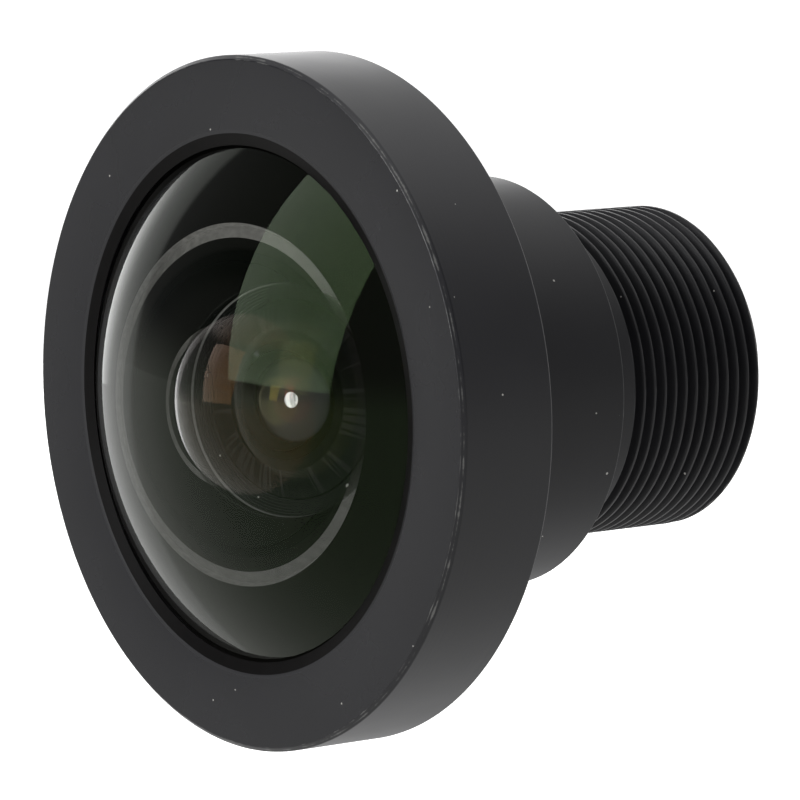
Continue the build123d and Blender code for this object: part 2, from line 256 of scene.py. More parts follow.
def arc(edge_place, clear_radius, height, count=40, flip=False):
    """Points of a curved glass face, from the axis out to its clear radius."""
    rise = abs(height)
    size = (clear_radius**2 + rise**2) / (2 * rise)
    reach = math.asin(clear_radius / size)
    points = []
    for index in range(count + 1):
        lean = reach * index / count
        drop = size * (1 - math.cos(lean))
        points.append((size * math.sin(lean), edge_place - height + math.copysign(drop, height)))
    return points[::-1] if flip else points


def spaced(start, end, step):
    """Points along a straight wall, no further apart than step."""
    span = (Vector(end) - Vector(start)).length
    count = max(1, math.ceil(span / step))
    return [
        (
            start[0] + (end[0] - start[0]) * index / count,
            start[1] + (end[1] - start[1]) * index / count,
        )
        for index in range(count + 1)
    ]


def bevelled_wall(radius, front, rear, bevel):
    """Outer wall of a disc with a bevel at each end."""
    return [
        (radius - bevel, front),
        (radius, front + bevel),
        (radius, rear - bevel),
        (radius - bevel, rear),
    ]


def lathe(name, outline, body, slot, segments=256, threads=(), closed=True, ring_slots=None):
    """Turned piece whose outline holds (radius, place) points. An open outline ends on the axis."""
    shape = bmesh.new()
    rings = []
    for radius, place in outline:
        if radius < SMALL:
            rings.append([shape.verts.new((0, place, 0))])
            continue
        ring = []
        for index in range(segments):
            turn = index / segments
            wall = radius
            for thread, low, high in threads:
                near = abs(radius - thread.crest) < 2 * thread.depth
                if near and low - SMALL <= place <= high + SMALL:
                    wall = thread.radius(wall, place, turn)
            lean = turn * FULL_TURN
            ring.append(shape.verts.new((wall * math.sin(lean), place, wall * math.cos(lean))))
        rings.append(ring)
    pairs = list(zip(rings, rings[1:]))
    if closed:
        pairs.append((rings[-1], rings[0]))
    for number, (one, other) in enumerate(pairs):
        for index in range(segments):
            after = (index + 1) % segments
            if len(one) == 1:
                corners = (one[0], other[index], other[after])
            elif len(other) == 1:
                corners = (one[index], one[after], other[0])
            else:
                corners = (one[index], one[after], other[after], other[index])
            face = shape.faces.new(corners)
            face.material_index = ring_slots(number) if ring_slots else 0
    bmesh.ops.recalc_face_normals(shape, faces=shape.faces)
    mesh = bpy.data.meshes.new(name)
    shape.to_mesh(mesh)
    shape.free()
    mesh.shade_smooth()
    mesh.set_sharp_from_angle(angle=SHARP_ANGLE)
    piece = bpy.data.objects.new(name, mesh)
    bpy.context.scene.collection.objects.link(piece)
    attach(piece, body)
    piece.visible_shadow = not slot.endswith("glass")
    return piece


def feed(tree, target, inputs):
    """Gives a node its inputs, each a value or a socket to link."""
    for key, value in inputs.items():
        if isinstance(value, bpy.types.NodeSocket):
            tree.links.new(value, target.inputs[key])
        else:
            target.inputs[key].default_value = value


def node(tree, kind, inputs=None, **settings):
    """New shader node with its settings and inputs."""
    made = tree.nodes.new(kind)
    for key, value in settings.items():
        setattr(made, key, value)
    feed(tree, made, inputs or {})
    return made


def math_node(tree, operation, *values):
    """Result of one Math node."""
    inputs = dict(enumerate(values))
    return node(tree, "ShaderNodeMath", inputs, operation=operation).outputs[0]


def smooth_step(tree, value, low, high):
    """Zero below low, one above high and smooth between."""
    inputs = {"Value": value, "From Min": low, "From Max": high}
    made = node(tree, "ShaderNodeMapRange", inputs, interpolation_type="SMOOTHSTEP")
    return made.outputs["Result"]


def bump_normal(tree, height, strength, distance):
    """Normal of a surface with a bumped height."""
    inputs = {"Height": height, "Strength": strength, "Distance": distance}
    return node(tree, "ShaderNodeBump", inputs).outputs["Normal"]


def mix_colour(tree, share, one, other):
    """One colour turned into the other by a share."""
    inputs = {0: share, 6: one, 7: other}
    return node(tree, "ShaderNodeMix", inputs, data_type="RGBA").outputs[2]


def noise(tree, position, scale, detail, roughness=0.5):
    """Share from a noise texture."""
    inputs = {"Vector": position, "Scale": scale, "Detail": detail, "Roughness": roughness}
    return node(tree, "ShaderNodeTexNoise", inputs).outputs["Fac"]


def dot_product(tree, one, other):
    """Dot product of two vectors."""
    inputs = {0: one, 1: other}
    return node(tree, "ShaderNodeVectorMath", inputs, operation="DOT_PRODUCT").outputs["Value"]


def diagonal(tree, one, other):
    """Square root of the sum of two squares."""
    squares = [math_node(tree, "MULTIPLY", value, value) for value in (one, other)]
    return math_node(tree, "SQRT", math_node(tree, "ADD", *squares))


def new_group(name, inputs, outputs):
    """Shader node group with named sockets. Returns the tree and its two end nodes."""
    tree = bpy.data.node_groups.new(name, "ShaderNodeTree")
    for label, kind, default in inputs:
        kind = "NodeSocket" + kind
        socket = tree.interface.new_socket(name=label, in_out="INPUT", socket_type=kind)
        if default is not None:
            socket.default_value = default
    for label, kind in outputs:
        kind = "NodeSocket" + kind
        tree.interface.new_socket(name=label, in_out="OUTPUT", socket_type=kind)
    return tree, tree.nodes.new("NodeGroupInput"), tree.nodes.new("NodeGroupOutput")


def axis_distance(tree, position):
    """Sockets for the distance from the axis and the place along it."""
    parts = node(tree, "ShaderNodeSeparateXYZ", {"Vector": position})
    return diagonal(tree, parts.outputs["X"], parts.outputs["Z"]), parts.outputs["Y"]


def turned_lines_group():
    """Uneven tool lines left by a lathe, round a wall or round a face."""
    tree, start, end = new_group(
        "Turned Lines",
        [
            ("Position", "Vector", None),
            ("Facing", "Float", 0.0),
            ("Lines per metre", "Float", 9000.0),
        ],
        [("Height", "Float")],
    )
    radius, place = axis_distance(tree, start.outputs["Position"])
    across = node(
        tree, "ShaderNodeMix", {0: start.outputs["Facing"], 2: place, 3: radius}, data_type="FLOAT"
    )
    scaled = math_node(tree, "MULTIPLY", across.outputs[0], start.outputs["Lines per metre"])
    inputs = {"W": scaled, "Scale": 1.0, "Detail": 3.0}
    fine = node(tree, "ShaderNodeTexNoise", inputs, noise_dimensions="1D")
    tree.links.new(fine.outputs["Fac"], end.inputs["Height"])
    return tree


def dust_group():
    """Scattered specks of uneven size."""
    tree, start, end = new_group(
        "Dust Specks",
        [
            ("Position", "Vector", None),
            ("Specks per metre", "Float", 900.0),
            ("Amount", "Float", 0.1),
            ("Size", "Float", 0.12),
        ],
        [("Mask", "Float")],
    )
    inputs = {"Vector": start.outputs["Position"], "Scale": start.outputs["Specks per metre"]}
    cells = node(tree, "ShaderNodeTexVoronoi", inputs, feature="F1")
    tint = node(tree, "ShaderNodeSeparateColor", {"Color": cells.outputs["Color"]})
    chosen = math_node(tree, "LESS_THAN", tint.outputs["Red"], start.outputs["Amount"])
    spread = math_node(tree, "POWER", tint.outputs["Green"], 2.0)
    size = math_node(tree, "MULTIPLY", start.outputs["Size"], spread)
    near = math_node(tree, "LESS_THAN", cells.outputs["Distance"], size)
    tree.links.new(math_node(tree, "MULTIPLY", chosen, near), end.inputs["Mask"])
    return tree


def edge_wear_group():
    """Worn metal along the circle where a turned edge lies."""
    tree, start, end = new_group(
        "Edge Wear",
        [
            ("Position", "Vector", None),
            ("Edge Radius", "Float", 0.01),
            ("Edge Place", "Float", 0.0),
            ("Width", "Float", 0.0001),
            ("Amount", "Float", 0.5),
        ],
        [("Mask", "Float")],
    )
    radius, place = axis_distance(tree, start.outputs["Position"])
    off_radius = math_node(tree, "SUBTRACT", radius, start.outputs["Edge Radius"])
    off_place = math_node(tree, "SUBTRACT", place, start.outputs["Edge Place"])
    off_edge = diagonal(tree, off_radius, off_place)
    reach = math_node(tree, "DIVIDE", off_edge, start.outputs["Width"])
    patches = noise(tree, start.outputs["Position"], 1400.0, 5.0, roughness=0.7)
    wanted = math_node(tree, "ADD", patches, start.outputs["Amount"])
    wanted = math_node(tree, "SUBTRACT", wanted, 0.5)
    mask = math_node(tree, "SUBTRACT", math_node(tree, "MULTIPLY", wanted, 2.0), reach)
    tree.links.new(smooth_step(tree, mask, 0.0, 0.35), end.inputs["Mask"])
    return tree


def mottle_group():
    """Soft unevenness of an anodised coat: a tone and a roughness that vary together."""
    tree, start, end = new_group(
        "Anodised Mottle",
        [
            ("Position", "Vector", None),
            ("Colour", "Color", (0.01, 0.01, 0.01, 1)),
            ("Roughness", "Float", 0.4),
        ],
        [("Colour", "Color"), ("Roughness", "Float"), ("Grain", "Float")],
    )
    clouds = noise(tree, start.outputs["Position"], 260.0, 4.0)
    grain = noise(tree, start.outputs["Position"], 14000.0, 2.0)
    lift = math_node(tree, "MULTIPLY_ADD", clouds, 0.5, 0.75)
    tone = node(tree, "ShaderNodeVectorMath", {0: start.outputs["Colour"]}, operation="SCALE")
    tree.links.new(lift, tone.inputs["Scale"])
    rough = math_node(
        tree,
        "ADD",
        start.outputs["Roughness"],
        math_node(tree, "MULTIPLY_ADD", clouds, 0.10, -0.05),
    )
    feed(tree, end, {"Colour": tone.outputs[0], "Roughness": rough, "Grain": grain})
    return tree


def lit_side_group():
    """Share of studio white by direction: all of it behind, and none round the dim turn."""
    tree, start, end = new_group(
        "Lit Side", [("Direction", "Vector", None)], [("Share", "Float")]
    )
    parts = node(tree, "ShaderNodeSeparateXYZ", {"Vector": start.outputs["Direction"]})
    flat = node(tree, "ShaderNodeCombineXYZ", {"X": parts.outputs["X"], "Y": parts.outputs["Y"]})
    level = node(tree, "ShaderNodeVectorMath", {0: flat.outputs[0]}, operation="NORMALIZE")
    middle = (math.sin(DIM_TURN), -math.cos(DIM_TURN), 0)
    toward = dot_product(tree, level.outputs[0], middle)
    near = smooth_step(tree, toward, -0.34, -0.28)
    far = smooth_step(tree, toward, -0.75, -0.30)
    ahead = math_node(tree, "MULTIPLY_ADD", near, 0.45, math_node(tree, "MULTIPLY", far, 0.55))
    tree.links.new(math_node(tree, "SUBTRACT", 1.0, ahead), end.inputs["Share"])
    return tree


GROUP_MAKERS = {
    "Lit Side": lit_side_group,
    "Turned Lines": turned_lines_group,
    "Dust Specks": dust_group,
    "Edge Wear": edge_wear_group,
    "Anodised Mottle": mottle_group,
}


def group_node(tree, name, inputs):
    """Node group placed in a material, built the first time it is used."""
    group = bpy.data.node_groups.get(name) or GROUP_MAKERS[name]()
    return node(tree, "ShaderNodeGroup", inputs, node_tree=group)


def dust_specks(tree, position, density, amount, size):
    """Mask of dust specks on a surface."""
    inputs = {"Position": position, "Specks per metre": density, "Amount": amount, "Size": size}
    return group_node(tree, "Dust Specks", inputs).outputs["Mask"]


def blank_material(name):
    """Material with a Principled shader. Returns the material, its tree, shader and position."""
    material = bpy.data.materials.new(name)
    material.use_nodes = True
    tree = material.node_tree
    shader = tree.nodes["Principled BSDF"]
    position = tree.nodes.new("ShaderNodeTexCoord").outputs["Object"]
    return material, tree, shader, position


def anodised(
    name, tone, roughness, facing=0.0, lines=9000.0, depth=0.35, edges=(), dust=0.05, gloss=0.5
):
    """Black anodised metal with tool lines and a little dust.

    Each worn edge has a radius, a place, a width and a share that is worn."""
    finishes = bpy.context.scene.lens_finishes
    material, tree, shader, position = blank_material(name)
    inputs = {"Position": position, "Colour": (*tone, 1), "Roughness": roughness}
    mottle = group_node(tree, "Anodised Mottle", inputs)
    inputs = {"Position": position, "Facing": facing, "Lines per metre": lines}
    turned = group_node(tree, "Turned Lines", inputs)
    specks = dust_specks(tree, position, 2300.0, dust, 0.13)
    worn = 0.0
    for radius, place, width, share in edges:
        inputs = {"Position": position, "Edge Radius": radius, "Edge Place": place}
        inputs.update({"Width": width, "Amount": share})
        edge = group_node(tree, "Edge Wear", inputs)
        worn = math_node(tree, "MAXIMUM", worn, edge.outputs["Mask"])
    surface = mix_colour(tree, worn, mottle.outputs["Colour"], (*finishes.wear, 1))
    surface = mix_colour(tree, specks, surface, (*finishes.dust, 1))
    height = math_node(
        tree,
        "ADD",
        math_node(tree, "MULTIPLY", turned.outputs["Height"], depth),
        math_node(tree, "MULTIPLY", mottle.outputs["Grain"], 0.25),
    )
    normal = bump_normal(tree, height, 0.35, 0.01 * MM)
    inputs = {"Base Color": surface, "Roughness": mottle.outputs["Roughness"], "Normal": normal}
    feed(tree, shader, inputs)
    shader.inputs["Specular IOR Level"].default_value = gloss
    return material


def coated_glass(name, tint, index=1.7, cast=(0.985, 0.99, 0.98), dust=0.02):
    """Clear polished glass whose coating tints and lowers what it reflects."""
    material, tree, shader, position = blank_material(name)
    specks = dust_specks(tree, position, 1300.0, dust, 0.12)
    inputs = {"Coat Weight": specks, "Coat Roughness": 0.9, "Coat IOR": 2.2, "Roughness": 0.0}
    feed(tree, shader, inputs)
    inputs = {"Transmission Weight": 1.0, "IOR": index, "Specular Tint": (*tint, 1)}
    feed(tree, shader, {"Base Color": (*cast, 1), **inputs})
    return material


def ground_glass_with_painted_glow(name):
    """Finely ground glass with bright and dark grains, and a painted glow: emission that stands in
    for light reaching it through the dome, painted brighter near the top.
    """
    finishes = bpy.context.scene.lens_finishes
    material, tree, shader, position = blank_material(name)
    grain = noise(tree, position, 5200.0, 5.0)
    tone = mix_colour(
        tree,
        smooth_step(tree, grain, 0.35, 0.75),
        (*[0.62 * channel for channel in finishes.ground], 1),
        (*finishes.ground, 1),
    )
    normal = bump_normal(tree, grain, 0.4, 0.02 * MM)
    # Painted glow: emission brighter towards the top (+Z) of the ring, standing in for light that
    # falls on it through the dome.
    around = node(tree, "ShaderNodeVectorMath", {0: position}, operation="NORMALIZE")
    painted_glow_upward = dot_product(tree, around.outputs[0], (-0.05, 0, 1))
    lift = smooth_step(tree, painted_glow_upward, 0.15, 0.55)
    glow = mix_colour(tree, lift, (0.20, 0.20, 0.19, 1), (1.1, 1.1, 1.06, 1))
    glow = node(tree, "ShaderNodeVectorMath", {0: glow, 1: tone}, operation="MULTIPLY")
    feed(tree, shader, {"Base Color": tone, "Emission Color": glow.outputs[0], "Normal": normal})
    feed(tree, shader, {"Emission Strength": 1.0, "Roughness": 0.7})
    return material


def matt_black(name, tone, roughness=0.6, scale=3000.0, dust=0.0, gloss=0.5):
    """Matt black paint, film or rubber with a fine grain. Paint on glass has no gloss."""
    finishes = bpy.context.scene.lens_finishes
    material, tree, shader, position = blank_material(name)
    grain = noise(tree, position, scale, 4.0)
    surface = mix_colour(tree, grain, (*[0.7 * channel for channel in tone], 1), (*tone, 1))
    if dust:
        specks = dust_specks(tree, position, 2600.0, dust, 0.3)
        surface = mix_colour(tree, specks, surface, (*finishes.dust, 1))
    normal = bump_normal(tree, grain, 0.3, 0.01 * MM)
    feed(tree, shader, {"Base Color": surface, "Normal": normal})
    feed(tree, shader, {"Roughness": roughness, "Specular IOR Level": gloss})
    return material


def dress(piece, *materials):
    """Materials of a piece in order. Clearing them puts every face in the first slot."""
    if piece.data.materials:
        piece.data.materials.clear()
    for material in materials:
        piece.data.materials.append(material)


def span(name):
    """Front and rear place of a CAD node, and its radius."""
    low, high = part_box(name)
    return low.y, high.y, high.x


def outward(turn, rise):
    """Direction by its turn from the front toward +X and its rise."""
    level = math.cos(rise)
    return Vector((math.sin(turn) * level, -math.cos(turn) * level, math.sin(rise)))


def front_glass_rear(context):
    """Place of the flat seat behind the front glass, a hair in front of what it rests on."""
    return span("front_element")[1] - context.scene.lens_glass.ring_length - SEAT_CLEARANCE


class MakeHood(bpy.types.Operator):
    """Build the round hood with its lip, face and inside thread"""

    bl_idname = "lens_builder.hood"
    bl_label = "Hood"

    def execute(self, context):
        sizes = context.scene.lens_hood
        finishes = context.scene.lens_finishes
        front, rear, radius = span("front_hood")
        nose_front = span("barrel")[0]
        thread_crest = sizes.thread_root - sizes.thread_depth
        relief = sizes.thread_root + sizes.thread_relief
        thread_front = nose_front + sizes.thread_pitch
        bevel_rear = front + sizes.lip_depth
        glass_edge = front_glass_rear(context) - context.scene.lens_glass.edge_thickness
        wall = spaced(
            (thread_crest, rear - relief + thread_crest),
            (thread_crest, thread_front),
            sizes.thread_pitch / 14,
        )
        outline = [
            (radius - sizes.edge_chamfer, front),
            (radius, front + sizes.edge_chamfer),
            (radius, rear - sizes.rear_chamfer),
            (radius - sizes.rear_chamfer, rear),
            (relief, rear),
            *wall,
            (relief, thread_front),
            (relief, nose_front - sizes.step_gap),
            (sizes.bore_radius, nose_front - sizes.step_gap),
            (sizes.bore_radius, glass_edge),
            (sizes.lip_radius, bevel_rear),
            (sizes.window_radius - sizes.edge_round, front + 0.6 * sizes.edge_round),
            (sizes.window_radius + 0.2 * sizes.edge_round, front + 0.18 * sizes.edge_round),
            (sizes.window_radius + sizes.edge_round, front),
        ]
        thread = Thread(
            thread_crest,
            sizes.thread_depth,
            sizes.thread_pitch,
            nose_front + sizes.thread_pitch / 2,
            inside=True,
            flank_gap=FLANK_GAP,
        )
        outline = softened(outline, HOOD_ROUND)
        zone = (thread, thread_front, rear)
        piece = lathe("hood", outline, "front_hood", "hood_metal", 360, [zone])
        half = sizes.edge_chamfer / 2
        side = anodised(
            "hood side",
            finishes.hood,
            roughness=0.42,
            edges=[
                (radius - half, front + half, 0.12 * MM, 0.10),
                (radius, rear, 0.08 * MM, 0.16),
            ],
        )
        face = anodised(
            "hood face",
            finishes.hood,
            roughness=0.27,
            facing=1.0,
            gloss=0.42,
            edges=[(radius - sizes.edge_chamfer, front, 0.08 * MM, 0.10)],
        )
        # Painted shade: the bevel round the glass gets a darker, nearly glossless copy of the
        # hood's black.
        lip = matt_black("lip painted shade", finishes.lip, roughness=0.3, scale=1500.0, gloss=0.06)
        dress(piece, side, face, lip)
        lip_edge = sizes.window_radius + 0.3 * sizes.edge_round
        face_depth = 0.01 * MM
        for polygon in piece.data.polygons:
            spot = polygon.center
            out = math.hypot(spot.x, spot.z)
            if out < lip_edge and spot.y < glass_edge:
                polygon.material_index = 2
            elif spot.y < front + face_depth:
                polygon.material_index = 1
        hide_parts("front_hood")
        return {"FINISHED"}


class MakeFrontGlass(bpy.types.Operator):
    """Build the domed front glass with its bowl, its ground seat and its blackened edge"""

    bl_idname = "lens_builder.front_glass"
    bl_label = "Front glass"

    def execute(self, context):
        sizes = context.scene.lens_glass
        finishes = context.scene.lens_finishes
        rear = front_glass_rear(context)
        radius = span("front_element")[2]
        front = rear - sizes.edge_thickness
        clear = radius - sizes.dome_bevel
        dome = arc(front, clear, sizes.dome_height, 96)
        bowl_rear = rear + sizes.ring_length
        bowl = arc(bowl_rear, sizes.bowl_radius, sizes.bowl_depth, 72, flip=True)
        rim = bevelled_wall(radius, front, rear, sizes.dome_bevel)[1:]
        rim.append((sizes.ring_radius, rear))
        outline = dome + rim + bowl
        dome_faces = len(dome) - 1
        seat_face = dome_faces + len(rim)

        def face_slot(number):
            if number < dome_faces:
                return 0
            if number < seat_face:
                return 2
            return 3 if number == seat_face else 1

        piece = lathe(
            "front_glass", outline, "barrel", "front_glass", 384, closed=False, ring_slots=face_slot
        )
        dress(
            piece,
            coated_glass("coated dome", finishes.front_coat, index=1.8, dust=0.06),
            coated_glass("coated bowl", finishes.bowl_coat, index=1.8),
            matt_black("edge paint", finishes.edge_paint, gloss=0.0),
            ground_glass_with_painted_glow("ground seat with painted glow"),
        )
        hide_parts("front_element")
        return {"FINISHED"}


# Clear radius and height in mm of the front face, then of the rear face.
INNER_ELEMENTS = {
    "second_element": (4.80, 1.08, 2.95, 1.90),
    "third_element": (3.32, 0.80, 3.32, -0.60),
    "fourth_element": (2.56, 0.60, 3.65, -1.17),
    "fifth_element": (3.65, -1.17, 2.86, 0.46),
    "sixth_element": (3.60, 0.98, 3.60, -0.74),
}


class MakeInnerGlass(bpy.types.Operator):
    """Build the elements behind the front glass and the filter plate"""

    bl_idname = "lens_builder.inner_glass"
    bl_label = "Inner glass"

    def execute(self, context):
        sizes = context.scene.lens_glass
        finishes = context.scene.lens_finishes
        paint = matt_black("inner edge paint", finishes.spacer, gloss=0.0)
        plain = coated_glass("coated inner glass", finishes.inner_coat)
        faces = {
            "second_element": (
                coated_glass("brown coated glass", finishes.brown_coat, index=1.85),
                coated_glass("gold coated glass", finishes.gold_coat, index=1.85),
            ),
            "third_element": (coated_glass("red coated glass", finishes.red_coat), plain),
        }
        for name, (front_clear, front_height, rear_clear, rear_height) in INNER_ELEMENTS.items():
            low, high, radius = span(name)
            front = low + max(front_height, 0) * MM
            rear = high - max(-rear_height, 0) * MM
            face = arc(front, front_clear * MM, front_height * MM, 48)
            back = arc(rear, rear_clear * MM, rear_height * MM, 48, flip=True)
            rim = bevelled_wall(radius, front, rear, sizes.bevel)
            if radius - sizes.bevel - face[-1][0] < 1e-6:
                rim = rim[1:]
            if radius - sizes.bevel - back[0][0] < 1e-6:
                rim = rim[:-1]
            first, last = len(face) - 1, len(face) + len(rim) - 1

            def face_slot(number):
                if number < first:
                    return 0
                return 1 if number <= last else 2

            glass = name.replace("element", "glass")
            outline = face + rim + back
            piece = lathe(
                glass, outline, "barrel", "inner_glass", 192, closed=False, ring_slots=face_slot
            )
            coats = faces.get(name, (plain, plain))
            dress(piece, coats[0], paint, coats[1])
            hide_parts(name)
        self.make_filter(context)
        return {"FINISHED"}

    def make_filter(self, context):
        sizes = context.scene.lens_glass
        front, rear, radius = span("rear_filter")
        outline = [(0, front), *bevelled_wall(radius, front, rear, sizes.bevel), (0, rear)]
        piece = lathe("filter_plate", outline, "barrel", "filter_glass", 192, closed=False)
        dress(piece, coated_glass("coated filter", (0.35, 0.5, 1.0), index=1.52))
        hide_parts("rear_filter")


class MakeBarrel(bpy.types.Operator):
    """Build the stepped barrel with its three threads"""

    bl_idname = "lens_builder.barrel"
    bl_label = "Barrel"

    def execute(self, context):
        sizes = context.scene.lens_barrel
        finishes = context.scene.lens_finishes
        front, rear, nose_radius = span("barrel")
        nose_rear = front + sizes.nose_thickness
        shoulder = -sizes.land_length
        front_bore = span("first_spacer")[2] + sizes.fit_gap
        third_front = span("second_spacer")[1]
        web_front = span("aperture_stop")[1]
        third_bore = span("aperture_stop")[2] + sizes.fit_gap
        pair_front = web_front + sizes.web_thickness
        pair_rear = span("fifth_element")[1]
        pair_bore = span("fifth_element")[2] + sizes.fit_gap
        rear_bore = span("rear_filter")[2] + sizes.fit_gap
        ring_front = span("retaining_ring")[0]
        ring_step = ring_front - sizes.relief
        ring_crest = sizes.ring_root - sizes.ring_depth
        ring_relief = sizes.ring_root + sizes.relief
        ring_thread_front = ring_front + sizes.ring_pitch
        groove_in = sizes.seal_radius - sizes.seal_half
        groove_out = sizes.seal_radius + sizes.seal_half
        crest = sizes.crest_radius
        mount_front = -0.3 * sizes.mount_pitch
        mount_step = sizes.mount_pitch / 18
        outline = [
            (front_bore, front),
            (groove_in, front),
            (groove_in, front + sizes.seal_depth),
            (groove_out, front + sizes.seal_depth),
            (groove_out, front),
            (nose_radius - sizes.nose_chamfer, front),
            *spaced(
                (nose_radius, front + sizes.nose_chamfer),
                (nose_radius, nose_rear - sizes.nose_chamfer),
                0.03 * MM,
            ),
            (nose_radius - sizes.nose_chamfer, nose_rear),
            (sizes.body_radius, nose_rear),
            (sizes.body_radius, shoulder - sizes.shoulder_chamfer),
            (sizes.body_radius - sizes.shoulder_chamfer, shoulder),
            (crest, shoulder),
            *spaced((crest, mount_front), (crest, rear - sizes.end_chamfer), mount_step),
            *spaced(
                (crest, rear - sizes.end_chamfer), (crest - sizes.end_chamfer, rear), mount_step
            ),
            (ring_relief, rear),
            *spaced(
                (ring_crest, rear - ring_relief + ring_crest),
                (ring_crest, ring_thread_front),
                sizes.ring_pitch / 12,
            ),
            (ring_relief, ring_thread_front),
            (ring_relief, ring_step),
            (rear_bore, ring_step),
            (rear_bore, pair_rear),
            (pair_bore, pair_rear),
            (pair_bore, pair_front),
            (sizes.web_opening, pair_front),
            (sizes.web_opening, web_front),
            (third_bore, web_front),
            (third_bore, third_front),
            (front_bore, third_front),
        ]
        mount = Thread(
            crest, sizes.mount_depth, sizes.mount_pitch, sizes.mount_run_in, rounded=True
        )
        nose = Thread(
            nose_radius,
            sizes.nose_depth,
            sizes.nose_pitch,
            front - sizes.nose_pitch,
            flank_gap=FLANK_GAP,
        )
        ring = Thread(
            ring_crest,
            sizes.ring_depth,
            sizes.ring_pitch,
            ring_front + sizes.ring_pitch / 2,
            inside=True,
            flank_gap=FLANK_GAP,
        )
        zones = [
            (mount, mount_front, rear),
            (nose, front, nose_rear),
            (ring, ring_thread_front, rear),
        ]
        outline = softened(outline, BARREL_ROUND, 2)
        piece = lathe("barrel_shell", outline, "barrel", "barrel_metal", 384, zones)
        metal = anodised(
            "barrel metal",
            finishes.barrel,
            roughness=0.46,
            lines=12000.0,
            depth=0.25,
            gloss=0.33,
            edges=[
                (sizes.body_radius, shoulder, 0.08 * MM, 0.36),
                (crest, rear - sizes.end_chamfer, 0.10 * MM, 0.30),
            ],
            dust=0.09,
        )
        dress(piece, metal)
        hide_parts("barrel")
        return {"FINISHED"}


class MakeBaffle(bpy.types.Operator):
    """Build the black funnel behind the front glass with its fine steps"""

    bl_idname = "lens_builder.baffle"
    bl_label = "Baffle"

    steps: IntProperty(name="Steps", description="Number of turned steps", default=8, min=2, max=60)

    def execute(self, context):
        front, rear, radius = span("first_spacer")
        sizes = context.scene.lens_glass
        funnel = []
        for index in range(self.steps):
            share = index / self.steps
            crest = sizes.mouth_radius + (sizes.throat_radius - sizes.mouth_radius) * share
            start = front + (rear - front) * share
            middle = start + (rear - front) / self.steps / 2
            funnel += [(crest, start), (crest + sizes.step_height, middle)]
        funnel.append((sizes.throat_radius, rear))
        wall = bevelled_wall(radius, front, rear, sizes.bevel)
        piece = lathe("baffle", wall + funnel[::-1], "barrel", "spacer_metal")
        tone = context.scene.lens_finishes.spacer
        dress(piece, matt_black("baffle black", tone, roughness=0.5, dust=0.14, gloss=0.12))
        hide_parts("first_spacer")
        return {"FINISHED"}


class FinishSmallParts(bpy.types.Operator):
    """Give the spacers, stops, seal, gasket, washer and ring their finishes"""

    bl_idname = "lens_builder.small_parts"
    bl_label = "Small parts"

    def execute(self, context):
        finishes = context.scene.lens_finishes
        spacer = matt_black("spacer black", finishes.spacer, 0.5, dust=0.02)
        stop = matt_black("stop black", (0.004, 0.004, 0.0045), 0.55)
        film = matt_black("film black", (0.012, 0.012, 0.013), 0.5, scale=1800.0)
        rubber = matt_black("seal rubber", (0.018, 0.018, 0.018), 0.45, scale=900.0)
        ring_rear = span("retaining_ring")[1]
        ring_opening = context.scene.lens_barrel.ring_opening
        ring = anodised(
            "ring metal",
            finishes.barrel,
            roughness=0.36,
            facing=1.0,
            lines=14000.0,
            edges=[(ring_opening, ring_rear, 0.07 * MM, 0.4)],
        )
        finish_of = {
            "second_spacer": spacer,
            "third_spacer": spacer,
            "fourth_spacer": spacer,
            "fifth_spacer": spacer,
            "front_stop_sheet": stop,
            "aperture_stop": stop,
            "rear_stop_sheet": stop,
            "lip_gasket": film,
            "slip_washer": film,
            "front_seal": rubber,
            "retaining_ring": ring,
        }
        for name, material in finish_of.items():
            dress(NODES[name], material)
        return {"FINISHED"}


